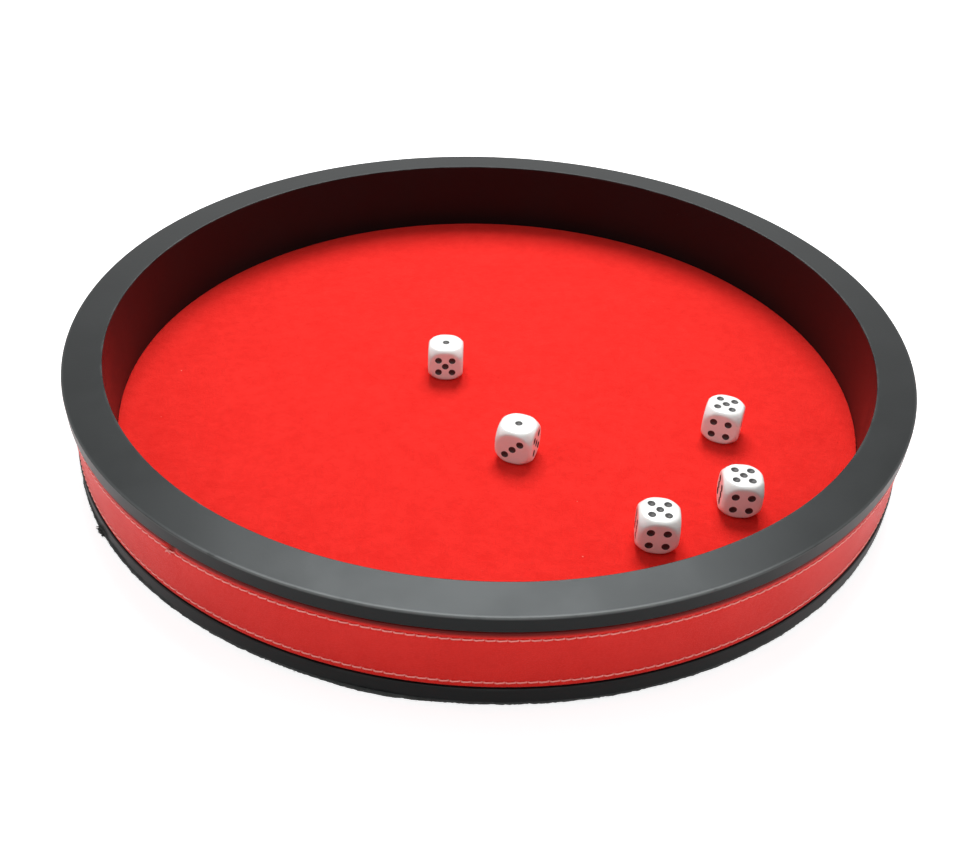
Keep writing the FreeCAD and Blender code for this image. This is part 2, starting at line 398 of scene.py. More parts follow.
def fibre_nap(name):
    """Tangled short fibres: their height, and the slower tone of matted patches."""
    inputs = {"Fibre width": 0.0004, "Fibre length": 0.003}
    group, given, result = new_group(name, inputs, ["Height", "Tone"])
    across = add_math(group, "DIVIDE", 1.0, given["Fibre width"])
    along = add_math(group, "DIVIDE", 1.0, given["Fibre length"])
    stretch = add_node(group, "ShaderNodeCombineXYZ", {0: across, 1: along, 2: across})
    layers = []
    for turn in (0.2, 1.25, 2.3):
        laid = add_node(
            group, "ShaderNodeVectorRotate", {"Vector": given["Vector"], "Angle": turn},
            rotation_type="Z_AXIS",
        )
        lying = add_vector_math(group, "MULTIPLY", laid.outputs[0], stretch.outputs[0])[0]
        layers.append(add_noise(group, lying, 1.0, Detail=2.0, Distortion=0.6)["Fac"])
    height = add_range(group, highest(group, *layers), 0.42, 0.8)
    group.links.new(height, result["Height"])
    slow = add_noise(group, given["Vector"], times(group, along, 0.6), Detail=4.0)
    group.links.new(add_range(group, slow["Fac"], 0.3, 0.7), result["Tone"])
    return group


def leather_grain(name):
    """Pebbled grain: the height of its grains, 0 in the creases between them."""
    group, given, result = new_group(name, {"Grain size": 0.0008}, ["Height"])
    scale = add_math(group, "DIVIDE", 1.0, given["Grain size"])
    bent = add_noise(group, given["Vector"], scale)["Color"]
    shift = add_vector_math(group, "MULTIPLY", bent, times(group, given["Grain size"], 0.8))[0]
    moved = add_vector_math(group, "ADD", given["Vector"], shift)[0]
    creases = add_node(
        group, "ShaderNodeTexVoronoi", {"Vector": moved, "Scale": scale}, feature="DISTANCE_TO_EDGE",
    )
    group.links.new(add_range(group, creases.outputs["Distance"], 0.0, 0.28), result["Height"])
    return group


def near_circle(name):
    """1 on a circle about the vertical axis and 0 away from it, broken up unless it is even."""
    inputs = {"Radius": 0.18, "Height": 0.04, "Reach": 0.001, "Evenness": 0.0}
    group, given, result = new_group(name, inputs, ["Mask"])
    place = add_node(group, "ShaderNodeSeparateXYZ", {0: given["Vector"]}).outputs
    flat = add_node(group, "ShaderNodeCombineXYZ", {0: place["X"], 1: place["Y"]}).outputs[0]
    out = add_vector_math(group, "LENGTH", flat)["Value"]
    aside = add_math(group, "SUBTRACT", out, given["Radius"])
    above = add_math(group, "SUBTRACT", place["Z"], given["Height"])
    squares = [times(group, part, part) for part in (aside, above)]
    apart = add_math(group, "SQRT", add_math(group, "ADD", *squares))
    near = add_math(group, "SUBTRACT", 1.0, add_math(group, "DIVIDE", apart, given["Reach"]))
    worn = add_noise(group, given["Vector"], 90.0, Detail=5.0)["Fac"]
    broken = add_range(group, add_math(group, "ADD", worn, given["Evenness"]), 0.42, 0.66)
    group.links.new(times(group, highest(group, near, 0.0), broken), result["Mask"])
    return group


# Materials


def new_material(name, **shader_values):
    """A material, its node tree and the place on the object."""
    material = bpy.data.materials.new(name)
    material.use_nodes = True
    tree = material.node_tree
    for label, value in shader_values.items():
        tree.nodes["Principled BSDF"].inputs[label.replace("_", " ")].default_value = value
    return material, tree, tree.nodes.new("ShaderNodeTexCoord").outputs["Object"]


def finished(material, color, normal, roughness=None):
    """The material, its shader fed with what varies over the surface."""
    tree = material.node_tree
    for label, socket in (("Base Color", color), ("Roughness", roughness), ("Normal", normal)):
        if socket is not None:
            tree.links.new(socket, tree.nodes["Principled BSDF"].inputs[label])
    return material


def shade_of(color, share):
    """A colour made darker or lighter, as a node takes it."""
    return (*(min(1, share * part) for part in color), 1)


def opaque(color):
    return (*color, 1)


def add_bump(tree, height, distance, under=None):
    inputs = {"Height": height, "Distance": distance, "Strength": 1.0}
    if under is not None:
        inputs["Normal"] = under
    return add_node(tree, "ShaderNodeBump", inputs).outputs["Normal"]


def add_mottle(tree, place, patch_size, detail=3.0):
    return add_effect(tree, soft_mottle, place, Patch_size=patch_size, Detail=detail)["Value"]


def add_mean(tree, first, second):
    return times(tree, add_math(tree, "ADD", first, second), 0.5)


def lacquer_material(wall):
    """Black satin lacquer over turned fibreboard, with a painted highlight along the outer top edge
    that is strongest at the front, and a little rubbed wear at its other edges.
    """
    material, tree, place = new_material(
        "black_satin_lacquer", Specular_IOR_Level=0.2, Specular_Tint=(0.9, 0.98, 1.0, 1),
    )
    # A painted highlight along the rim's outer top edge, strongest at the front; light rubbed wear
    # along the other edges and dust flecks take the same pale colour
    depth = add_node(tree, "ShaderNodeSeparateXYZ", {0: place}).outputs["Y"]
    front, behind_front = -0.95 * wall.outer_radius, -0.78 * wall.outer_radius
    highlight_at_front = add_range(tree, depth, front, behind_front, to_low=1.0, to_high=0.2)
    masks = []
    for radius, height, strength, evenness in (
        (wall.outer_radius, top_of("rim_ring"), highlight_at_front, 0.2),
        (wall.inner_radius, top_of("rim_ring"), 0.15, 0.0),
        (wall.outer_radius, bottom_of("rim_ring"), 0.05, 0.0),
        (wall.outer_radius, top_of("base_ring"), 0.05, 0.0),
        (wall.outer_radius, bottom_of("base_ring"), 0.05, 0.0),
    ):
        circle = add_effect(
            tree, near_circle, place, Radius=radius, Height=height, Reach=1.1 * MM, Evenness=evenness,
        )["Mask"]
        masks.append(times(tree, circle, strength))
    wear_and_highlight = highest(tree, *masks)
    flecks = add_effect(tree, dust_flecks, place, Spacing=0.009, Size=0.035, Share=0.2)["Mask"]
    marks_and_highlight = highest(tree, wear_and_highlight, times(tree, flecks, 0.07))
    color = add_mix(tree, marks_and_highlight, opaque(wall.lacquer), opaque(wall.wear_and_highlight))
    cloud = add_mottle(tree, place, 0.03, detail=4.0)
    satin = add_range(tree, cloud, 0.0, 1.0, to_low=0.29, to_high=0.34)
    roughness = add_math(tree, "ADD", satin, times(tree, wear_and_highlight, 0.12))
    peel = add_mottle(tree, place, 0.0016, detail=1.0)
    return finished(material, color, add_bump(tree, peel, 0.004 * MM), roughness)


def floor_felt_material(floor):
    """Bright red felt with a short tangled nap."""
    material, tree, place = new_material(
        "red_wool_felt", Roughness=0.95, Specular_IOR_Level=0.1,
        Sheen_Weight=0.1, Sheen_Roughness=0.5, Sheen_Tint=(1, 0.2, 0.16, 1),
    )
    nap = add_effect(tree, fibre_nap, place, Fibre_width=0.35 * MM, Fibre_length=2.6 * MM)
    matted = add_mottle(tree, place, 0.012, detail=5.0)
    tone = times(tree, matted, 0.3)
    for part in (nap["Tone"], nap["Height"]):
        tone = add_math(tree, "ADD", tone, times(tree, part, 0.35))
    color = add_mix(tree, tone, opaque(floor.felt_hollow), opaque(floor.felt))
    lint = add_effect(tree, dust_flecks, place, Spacing=0.012, Size=0.022, Share=0.25)["Mask"]
    spotted = add_mix(tree, times(tree, lint, 0.5), color, (0.9, 0.5, 0.4, 1))
    fibres = add_bump(tree, nap["Height"], 0.12 * MM)
    return finished(material, spotted, add_bump(tree, nap["Tone"], 0.12 * MM, under=fibres))


def under_felt_material(floor):
    """Thin dark grey felt under the tray."""
    material, tree, place = new_material(
        "dark_grey_felt", Roughness=1.0, Specular_IOR_Level=0.1,
        Sheen_Weight=0.3, Sheen_Roughness=0.6, Sheen_Tint=(0.6, 0.6, 0.6, 1),
    )
    nap = add_effect(tree, fibre_nap, place, Fibre_width=0.3 * MM, Fibre_length=2.0 * MM)
    matted = add_mottle(tree, place, 0.02, detail=5.0)
    tone = add_mean(tree, nap["Tone"], matted)
    color = add_mix(tree, tone, opaque(floor.under_felt), shade_of(floor.under_felt, 2.2))
    return finished(material, color, add_bump(tree, nap["Height"], 0.2 * MM))


def board_material(floor):
    """Smooth brown hardboard with pressed fibres."""
    material, tree, place = new_material("brown_hardboard", Roughness=0.7)
    chips = add_effect(tree, fibre_nap, place, Fibre_width=0.5 * MM, Fibre_length=5 * MM)
    tone = add_mean(tree, chips["Height"], chips["Tone"])
    color = add_mix(tree, tone, shade_of(floor.board, 0.45), opaque(floor.board))
    return finished(material, color, add_bump(tree, chips["Height"], 0.05 * MM))


def screw_material():
    """Zinc plated steel, a little stained."""
    material, tree, place = new_material("zinc_plated_steel", Metallic=1.0)
    stain = add_mottle(tree, place, 0.0015, detail=4.0)
    color = add_mix(tree, stain, (0.42, 0.41, 0.38, 1), (0.68, 0.68, 0.67, 1))
    roughness = add_range(tree, stain, 0.0, 1.0, to_low=0.48, to_high=0.28)
    return finished(material, color, None, roughness)


def leatherette_material(band):
    """Red satin leatherette with a fine pebbled grain, with painted shade along its edges and in its
    dent.
    """
    material, tree, place = new_material(
        "red_leatherette", Specular_IOR_Level=0.2,
        Sheen_Weight=0.3, Sheen_Roughness=0.3, Sheen_Tint=(1, 0.9, 0.9, 1),
    )
    grain = add_effect(tree, leather_grain, place, Grain_size=0.75 * MM)["Height"]
    cloud = add_mottle(tree, place, 0.02, detail=4.0)
    tone = add_math(tree, "ADD", times(tree, grain, 0.6), times(tree, cloud, 0.4))
    color = add_mix(tree, tone, opaque(band.leatherette_deep), opaque(band.leatherette))
    low, high = heights_of("side_band")
    # Painted shade along the strip's upper edge under the lip, and a thin line of it along the lower
    # edge
    for height, reach in ((high, 1.8 * MM), (low, 0.4 * MM)):
        edge = add_effect(
            tree, near_circle, place, Radius=band.radius, Height=height, Reach=reach, Evenness=0.3,
        )["Mask"]
        color = add_mix(tree, times(tree, edge, 1.6), color, opaque(band.painted_edge_shade))
    # Painted shade in the dent at the strip's upper edge, darkest at its middle
    dent = Matrix.Rotation(DENT_AZIMUTH, 3, "Z") @ Vector((band.radius, 0, high - 0.7 * MM))
    to_dent = add_vector_math(tree, "DISTANCE", place, dent)["Value"]
    painted_dent_shade = add_range(tree, to_dent, 0.9 * MM, 3.1 * MM, to_low=0.9, to_high=0.0)
    color = add_mix(tree, painted_dent_shade, color, opaque(band.painted_dent_shade))
    roughness = add_range(tree, tone, 0.0, 1.0, to_low=0.55, to_high=0.38)
    pores = add_mottle(tree, place, 0.25 * MM, detail=2.0)
    fine = add_bump(tree, pores, 0.01 * MM)
    return finished(material, color, add_bump(tree, grain, 0.035 * MM, under=fine), roughness)


def backing_material(band):
    """Woven cloth, seen only where the strip's ends and edges let it show."""
    material, tree, place = new_material("woven_backing", Roughness=0.95, Specular_IOR_Level=0.2)
    nap = add_effect(tree, fibre_nap, place, Fibre_width=0.25 * MM, Fibre_length=1.5 * MM)
    color = add_mix(tree, nap["Height"], shade_of(band.cloth, 0.5), opaque(band.cloth))
    return finished(material, color, add_bump(tree, nap["Height"], 0.12 * MM))


def thread_material(thread):
    """Shiny twisted thread with a little fuzz."""
    material, tree, place = new_material(
        "pale_thread", Roughness=0.45, IOR=1.8, Specular_IOR_Level=1.0,
        Sheen_Weight=0.9, Sheen_Roughness=0.4, Sheen_Tint=(1, 0.65, 0.6, 1),
    )
    fuzz = add_mottle(tree, place, 0.2 * MM)
    wear = add_mottle(tree, place, 0.03)
    tone = add_mean(tree, fuzz, wear)
    color = add_mix(tree, tone, shade_of(thread.color, 0.95), opaque(thread.color))
    return finished(material, color, add_bump(tree, fuzz, 0.02 * MM))


def resin_material(dice):
    """Polished white resin that lets a little light in."""
    material, tree, place = new_material(
        "white_resin", Specular_IOR_Level=0.5, Subsurface_Weight=0.12,
        Subsurface_Radius=(1.0, 0.9, 0.8), Subsurface_Scale=1.0 * MM,
    )
    cloud = add_mottle(tree, place, 0.006)
    warm = [part * tint for part, tint in zip(dice.resin, (0.985, 0.975, 0.955))]
    color = add_mix(tree, cloud, opaque(warm), opaque(dice.resin))
    roughness = add_range(tree, cloud, 0.0, 1.0, to_low=0.2, to_high=0.14)
    scuffs = add_mottle(tree, place, 0.4 * MM, detail=4.0)
    return finished(material, color, add_bump(tree, scuffs, 0.003 * MM), roughness)


def pip_material(dice):
    """Black enamel, brushed into the dimples."""
    material, tree, place = new_material("black_enamel", Specular_IOR_Level=0.5)
    cloud = add_mottle(tree, place, 0.5 * MM)
    color = add_mix(tree, cloud, opaque(dice.paint), shade_of(dice.paint, 2.5))
    roughness = add_range(tree, cloud, 0.0, 1.0, to_low=0.4, to_high=0.55)
    return finished(material, color, add_bump(tree, cloud, 0.02 * MM), roughness)


# Shapes


def out_and_up(point):
    return math.hypot(point.x, point.y), point.z


def bell(distance, width):
    return math.exp(-((distance / width) ** 2))


def turned(corners, steps, turn=2 * math.pi, start=0.0, closed=True, cuts=0):
    """A shape turned about the vertical axis from (radius, height) corners, each step cut again."""
    shape = bmesh.new()
    outline = [shape.verts.new((radius, 0, height)) for radius, height in corners]
    following = outline[1:] + outline[:1] if closed else outline[1:]
    edges = [shape.edges.new(pair) for pair in zip(outline, following)]
    bmesh.ops.rotate(shape, verts=outline, cent=(0, 0, 0), matrix=Matrix.Rotation(start, 3, "Z"))
    whole = math.isclose(turn, 2 * math.pi)
    bmesh.ops.spin(
        shape, geom=outline + edges, cent=(0, 0, 0), axis=UP, angle=turn, steps=steps, use_merge=whole
    )
    bmesh.ops.remove_doubles(shape, verts=shape.verts, dist=SAME_PLACE)
    if not whole:
        bmesh.ops.holes_fill(shape, edges=[e for e in shape.edges if e.is_boundary], sides=0)
    if cuts:
        around = [
            edge for edge in shape.edges
            if math.dist(*(out_and_up(vert.co) for vert in edge.verts)) < TURNING_ERROR
        ]
        bmesh.ops.subdivide_edges(shape, edges=around, cuts=cuts)
        half_step = turn / steps / 2
        for vert in shape.verts:
            aside = (math.atan2(vert.co.y, vert.co.x) - start) % (2 * half_step) - half_step
            out_to_circle = math.cos(aside) / math.cos(half_step)
            vert.co.x *= out_to_circle
            vert.co.y *= out_to_circle
    bmesh.ops.recalc_face_normals(shape, faces=shape.faces)
    return shape


def round_edges(shape, places, edge_round):
    """Rounds the circular edges that lie at the given (radius, height) places."""

    def lies_there(edge):
        ends = [out_and_up(vert.co) for vert in edge.verts]
        return any(all(math.dist(end, place) < TURNING_ERROR for end in ends) for place in places)

    bmesh.ops.bevel(
        shape, geom=[e for e in shape.edges if lies_there(e)], offset=edge_round,
        offset_type="OFFSET", affect="EDGES", segments=ROUNDING_FACES, profile=0.5, material=-1,
    )


def add_object(name, data):
    made = bpy.data.objects.new(name, data)
    bpy.context.scene.collection.objects.link(made)
    return made


def add_piece(name, shape, material, body=TRAY_BODY, stands_for=(), crease=None):
    """Makes a piece from a finished shape, smooth but for edges past the crease angle."""
    mesh = kept_as(name, shape)
    mesh.shade_smooth()
    if crease:
        mesh.set_sharp_from_angle(angle=crease)
    mesh.materials.append(material)
    piece = add_object(name, mesh)
    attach(piece, body)
    if stands_for:
        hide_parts(*stands_for)
    return piece


def keep_flats_flat(piece):
    """Shades flat and turned faces evenly, right up to their rounded edges."""
    even = piece.modifiers.new("Even shading", "WEIGHTED_NORMAL")
    even.weight = 100
    even.keep_sharp = True


def dress_node(node, material):
    """Gives a piece of the frame its finish."""
    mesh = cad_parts[node].data
    mesh.materials.clear()
    mesh.materials.append(material)


def thread_along(shape, points, radius, twist, strands=3, strand_depth=0.2, taper=None):
    """A thread of twisted strands that follows the points, closed at its two ends."""
    section = bmesh.ops.create_circle(shape, segments=2 * strands, radius=radius)["verts"]
    for vert in section[1::2]:
        vert.co *= 1 - strand_depth
    edges = list({edge for vert in section for edge in vert.link_edges})
    bmesh.ops.contextual_create(shape, geom=edges)
    placed = Matrix.Identity(4)
    last = len(points) - 1
    for number, point in enumerate(points):
        ahead = points[min(number + 1, last)] - points[max(number - 1, 0)]
        aim = ahead.to_track_quat("Z", "X").to_matrix().to_4x4()
        size = taper[number] if taper else 1.0
        matrix = Matrix.Translation(point) @ aim @ Matrix.Rotation(number * twist, 4, "Z")
        matrix = matrix @ Matrix.Scale(size, 4)
        if number:
            grown = bmesh.ops.extrude_edge_only(shape, edges=edges)["geom"]
            section = [part for part in grown if isinstance(part, bmesh.types.BMVert)]
            edges = [part for part in grown if isinstance(part, bmesh.types.BMEdge)]
        bmesh.ops.transform(shape, matrix=matrix @ placed.inverted(), verts=section)
        placed = matrix
    bmesh.ops.contextual_create(shape, geom=edges)


def kept_as(name, shape):
    """Keeps a shape as a mesh, for repeated() to copy."""
    mesh = bpy.data.meshes.new(name)
    shape.to_mesh(mesh)
    shape.free()
    return mesh


def repeated(kinds, places):
    """A shape with a copy of one of the kinds at each place, as (kind number, matrix) pairs."""
    shape = bmesh.new()
    for kind, place in places:
        known = len(shape.verts)
        shape.from_mesh(kinds[kind])
        shape.verts.ensure_lookup_table()
        bmesh.ops.transform(shape, matrix=place, verts=shape.verts[known:])
    for mesh in kinds:
        bpy.data.meshes.remove(mesh)
    return shape


# Wall


def block(inner, outer, low, high):
    """The corners of a ring's plain section."""
    return [(inner, low), (outer, low), (outer, high), (inner, high)]


def build_rim(wall):
    low, high = heights_of("rim_ring")
    inner, outer = wall.inner_radius, wall.outer_radius
    shape = turned(block(inner, outer, low, high), WALL_STEPS)
    round_edges(shape, [(outer, high), (inner, high)], wall.rim_round)
    round_edges(shape, [(outer, low)], wall.lip_round)
    return shape


def build_core(wall):
    section = block(wall.inner_radius, radius_of("core_ring"), *heights_of("core_ring"))
    return turned(section, WALL_STEPS)


def build_base(wall):
    low, high = heights_of("base_ring")
    inner, outer = wall.inner_radius, wall.outer_radius
    rebate, ledge = radius_of("floor_board") + BOARD_FIT, top_of("floor_board")
    shape = turned([
        (inner, ledge), (rebate, ledge), (rebate, low), (outer, low), (outer, high), (inner, high),
    ], WALL_STEPS)
    round_edges(shape, [(outer, low), (outer, high)], wall.lip_round)
    return shape


class DICETRAY_OT_wall(bpy.types.Operator):
    """Make the rim, the middle ring and the lower ring of the wall"""

    bl_idname = "dice_tray.wall"
    bl_label = "Wall"

    def execute(self, context):
        wall = context.scene.dice_tray.wall
        lacquer = lacquer_material(wall)
        for name, build, node in (
            ("wall_rim", build_rim, "rim_ring"),
            ("wall_core", build_core, "core_ring"),
            ("wall_base", build_base, "base_ring"),
        ):
            piece = add_piece(
                name, build(wall), lacquer, stands_for=[node], crease=CREASE
            )
            keep_flats_flat(piece)
        return {"FINISHED"}


# Floor


def build_floor_felt(floor):
    """The felt disc, its top uneven by a little, with soft edges against the wall."""
    low, high = heights_of("floor_felt")
    radius = radius_of("floor_felt") + FLOOR_FELT_FIT - FELT_WALL_GAP
    soft = FELT_SOFT_EDGE
    shape = turned([(0, low), (radius, low), (radius, high - soft), (radius - soft, high)] + [
        (radius * (1 - (number + 1) / FELT_RINGS), high) for number in range(FELT_RINGS)
    ], FELT_STEPS, closed=False, cuts=FELT_STEP_CUTS)
    for vert in shape.verts:
        if vert.co.z > high - SAME_PLACE:
            slow, quick = (noise.noise(vert.co / width) for width in FELT_WAVES)
            vert.co.z -= floor.felt_wave * (0.5 - 0.3 * (slow + 0.7 * quick))
    return shape


def under_felt_reach(azimuth):
    """How far the underside felt stands out past its even radius at one azimuth."""
    degrees = math.degrees(azimuth)
    return sum(reach * bell(degrees - place, width) for place, width, reach in UNDERSIDE_FELT_BULGES)


def build_under_felt():
    """The dark disc under the tray, with a ragged edge that stands out here and there."""
    low, high = heights_of("underside_felt")
    radius = radius_of("underside_felt")
    shape = turned([
        (0, low), (radius / 2, low), (radius - 2 * MM, low), (radius, low), (radius, (low + high) / 2),
        (radius, high), (radius - 2 * MM, high), (radius / 2, high), (0, high),
    ], UNDERSIDE_FELT_STEPS, closed=False, cuts=1)
    for vert in shape.verts:
        flat = Vector((vert.co.x, vert.co.y, 0))
        if flat.length > radius - TURNING_ERROR:
            around = vert.co / NOTCH_WIDTH
            ragged = noise.noise(around) + 1.3 * noise.noise(5 * around)
            reach = under_felt_reach(math.atan2(flat.y, flat.x)) + UNDERSIDE_FELT_RAGGED * ragged
            vert.co += flat.normalized() * reach
    return shape


def fibre_kinds(floor, draw):
    """Loose fibres that stand out along X from a root at the origin, each bent its own way."""
    kinds = []
    for number in range(FIBRE_KINDS):
        reach = floor.fringe * draw.uniform(0.4, 1.1)
        lean, rise = draw.uniform(-1.2, 1.2), draw.uniform(-0.35, 0.35)
        points = [
            Vector((share, lean * share ** 2, rise * share)) * reach for share in (0, 0.4, 0.75, 1)
        ]
        shape = bmesh.new()
        taper = (1, 0.9, 0.7, 0.3)
        thread_along(shape, points, FIBRE_RADIUS, 0.3, strands=2, strand_depth=0, taper=taper)
        kinds.append(kept_as(f"fibre_kind_{number}", shape))
    return kinds


def build_fringe(floor):
    """Loose fibres along the cut edge of the underside felt."""
    draw = random.Random(7)
    kinds = fibre_kinds(floor, draw)
    root = radius_of("underside_felt") - FIBRE_ROOT
    places = []
    for number in range(FRINGE_FIBRES + TUFT_FIBRES):
        azimuth, size = draw.uniform(-math.pi, math.pi), 1
        if number >= FRINGE_FIBRES:
            azimuth, size = TUFT_AZIMUTH + draw.gauss(0, TUFT_SPREAD), TUFT_SIZE
        height = middle_of("underside_felt").z + draw.uniform(-1, 1) * FIBRE_SPREAD
        out = root + under_felt_reach(azimuth)
        place = Matrix.Rotation(azimuth, 4, "Z") @ Matrix.Translation((out, 0, height))
        places.append((draw.randrange(len(kinds)), place @ Matrix.Scale(size, 4)))
    return repeated(kinds, places)


class DICETRAY_OT_floor(bpy.types.Operator):
    """Make the two felts, and finish the board and its screws"""

    bl_idname = "dice_tray.floor"
    bl_label = "Floor"

    def execute(self, context):
        floor = context.scene.dice_tray.floor
        dress_node("floor_board", board_material(floor))
        dress_node("board_screws", screw_material())
        red = add_piece(
            "floor_felt_cloth", build_floor_felt(floor), floor_felt_material(floor),
            stands_for=["floor_felt"],
        )
        dark_finish = under_felt_material(floor)
        dark = add_piece(
            "underside_felt_cloth", build_under_felt(), dark_finish,
            stands_for=["underside_felt"],
        )
        fringe = add_piece("underside_felt_fringe", build_fringe(floor), dark_finish)
        return {"FINISHED"}


# Band


def stitch_heights():
    return [middle_of(node).z for node in ("lower_stitching", "upper_stitching")]


def share_of_dent(band, azimuth, height, width):
    """How far into the dent a place on the strip lies, from 0 to 1."""
    aside = (azimuth - DENT_AZIMUTH) * band.radius
    return bell(aside, width) * bell(top_of("side_band") - height, DENT_REACH)


def strip_depth(band, thread, azimuth, height):
    """How far the strip's face lies inside its own radius at one place."""
    depth = 0.0
    for to_edge, roll, deepest in (
        (height - bottom_of("side_band"), band.lower_roll, band.lower_roll),
        (top_of("side_band") - height, band.upper_roll, STRIP_DEEPEST),
    ):
        if to_edge < roll:
            depth += deepest * (1 - math.sqrt(1 - (1 - max(0, to_edge) / roll) ** 2))
    stitches = (azimuth - band.joint_azimuth) / (2 * math.pi) * thread.count
    along = (stitches % 1 - 0.5) * 2 * math.pi * band.radius / thread.count
    hole = bell(abs(along) - thread.length / 2, HOLE_WIDTH)
    for row in stitch_heights():
        depth += band.channel * bell(height - row, CHANNEL_WIDTH) * (0.6 + 0.4 * hole)
        depth += band.pinch * bell(height - row, HOLE_WIDTH) * hole
    depth += DENT_DEPTH * share_of_dent(band, azimuth, height, DEPTH_WIDTH)
    return min(depth, STRIP_DEEPEST)


def strip_outline(band):
    """Corners of the strip's section: fine along its edges and rows, coarse between."""
    low, high = heights_of("side_band")
    heights = {low, high}
    heights.update(low + share * band.lower_roll for share in (0.08, 0.3, 0.6, 1))
    heights.update(high - share * band.upper_roll for share in (0.03, 0.1, 0.22, 0.4, 0.65, 1))
    for row in stitch_heights():
        heights.update(row + step * 0.3 * MM for step in range(-5, 6))
    first, second = stitch_heights()
    heights.update(first + (second - first) * share for share in (0.15, 0.3, 0.5, 0.7, 0.85))
    face = [(band.radius, height) for height in sorted(heights)]
    back = radius_of("band_backing")
    return face + [(back, high), (back, low)]


def turned_past_joint(band, corners, steps, cuts=0):
    """A shape turned round the tray from one side of the band's joint to the other."""
    gap = band.joint_gap / band.radius
    start = band.joint_azimuth + gap / 2
    return turned(corners, steps, turn=2 * math.pi - gap, start=start, cuts=cuts)


def build_strip(band, thread):
    """The leatherette strip, pulled in along its stitches and dented at its upper edge."""
    shape = turned_past_joint(band, strip_outline(band), thread.count, cuts=STEPS_PER_STITCH - 1)
    middle = (band.radius + radius_of("band_backing")) / 2
    for vert in shape.verts:
        out, height = out_and_up(vert.co)
        azimuth = math.atan2(vert.co.y, vert.co.x)
        vert.co.z -= DENT_DROP * share_of_dent(band, azimuth, height, DROP_WIDTH)
        if out > middle:
            outwards = Vector((vert.co.x, vert.co.y, 0)).normalized()
            vert.co -= outwards * strip_depth(band, thread, azimuth, height)
    return shape


def build_backing(band):
    inner, outer = radius_of("core_ring") + GLUE_LINE, radius_of("band_backing") - BACKING_FIT
    return turned_past_joint(band, block(inner, outer, *heights_of("band_backing")), WALL_STEPS)


class DICETRAY_OT_band(bpy.types.Operator):
    """Make the leatherette strip and its backing"""

    bl_idname = "dice_tray.band"
    bl_label = "Band"

    def execute(self, context):
        settings = context.scene.dice_tray
        band = settings.band
        backing = add_piece(
            "band_backing_cloth", build_backing(band), backing_material(band),
            stands_for=["band_backing"],
        )
        strip = add_piece(
            "band_leatherette", build_strip(band, settings.thread), leatherette_material(band),
            stands_for=["side_band"],
        )
        return {"FINISHED"}


# Stitches


def stitch_points(thread, radius, slant, bow, stretch):
    """One stitch at azimuth 0, out of one needle hole and into the next."""
    points = []
    for share in (-1.0, -0.86, -0.5, 0.0, 0.5, 0.86, 1.0):
        along = share * thread.length / 2 * stretch
        out = radius + THREAD_PROUD - THREAD_DIVE * share ** 10
        points.append(Vector((out, along, along * math.tan(slant) + bow * (1 - share ** 2))))
    return points


def stitch_kinds(band, thread):
    """A few stitches that differ a little, for a row to draw from."""
    draw = random.Random(3)
    middle = Vector((band.radius + THREAD_PROUD, 0, 0))
    flat = Matrix.Scale(THREAD_FLATNESS, 4, (1, 0, 0))
    pressed = Matrix.Translation(middle) @ flat @ Matrix.Translation(-middle)
    kinds = []
    for number in range(STITCH_KINDS):
        points = stitch_points(
            thread, band.radius, thread.slant + math.radians(draw.uniform(-2.5, 2.5)),
            draw.uniform(-0.04, 0.05) * MM, draw.uniform(0.96, 1.04),
        )
        shape = bmesh.new()
        thread_along(shape, points, thread.radius * draw.uniform(0.92, 1.05), math.radians(34))
        bmesh.ops.transform(shape, matrix=pressed, verts=shape.verts)
        kinds.append(kept_as(f"stitch_kind_{number}", shape))
    return kinds


def add_loose_end(shape, band, thread, height):
    """A small knot whose ends hang down over the strip's face."""
    taper = (1, 1, 1, 1, 0.95, 0.85, 0.6)
    for droop, along, bend in THREAD_ENDS:
        points = []
        for step in range(len(taper)):
            share = step / (len(taper) - 1)
            out = band.radius + (0.5 - 0.25 * share) * MM
            sideways = (along * share + bend * math.sin(3 * share)) * MM
            point = Vector((out, sideways, height - droop * MM * share ** 1.6))
            points.append(Matrix.Rotation(THREAD_END_AZIMUTH, 3, "Z") @ point)
        thread_along(shape, points, 0.9 * thread.radius, math.radians(30), taper=taper)


def build_stitches(band, thread, height, seed):
    draw = random.Random(seed)
    kinds = stitch_kinds(band, thread)
    places = []
    for number in range(thread.count):
        azimuth = band.joint_azimuth + 2 * math.pi * (number + 0.5) / thread.count
        lift = Matrix.Translation((0, 0, height + draw.uniform(-0.06, 0.06) * MM))
        places.append((draw.randrange(len(kinds)), Matrix.Rotation(azimuth, 4, "Z") @ lift))
    return repeated(kinds, places)


class DICETRAY_OT_stitches(bpy.types.Operator):
    """Sew the two rows of stitches"""

    bl_idname = "dice_tray.stitches"
    bl_label = "Stitches"

    def execute(self, context):
        settings = context.scene.dice_tray
        band, thread = settings.band, settings.thread
        finish = thread_material(thread)
        for seed, (row, height) in enumerate(zip(("lower", "upper"), stitch_heights())):
            shape = build_stitches(band, thread, height, seed)
            if row == "upper":
                add_loose_end(shape, band, thread, height)
            add_piece(f"{row}_thread", shape, finish, stands_for=[f"{row}_stitching"])
        return {"FINISHED"}


# Dice

# Cuts across each face of the cube that becomes a die, steps round a dimple and round its paint,
# and how softly the corners pass into the faces
DIE_CUTS = 39
DIMPLE_STEPS = 40
PAINT_STEPS = 28
CORNER_SOFTNESS = 0.25 * MM

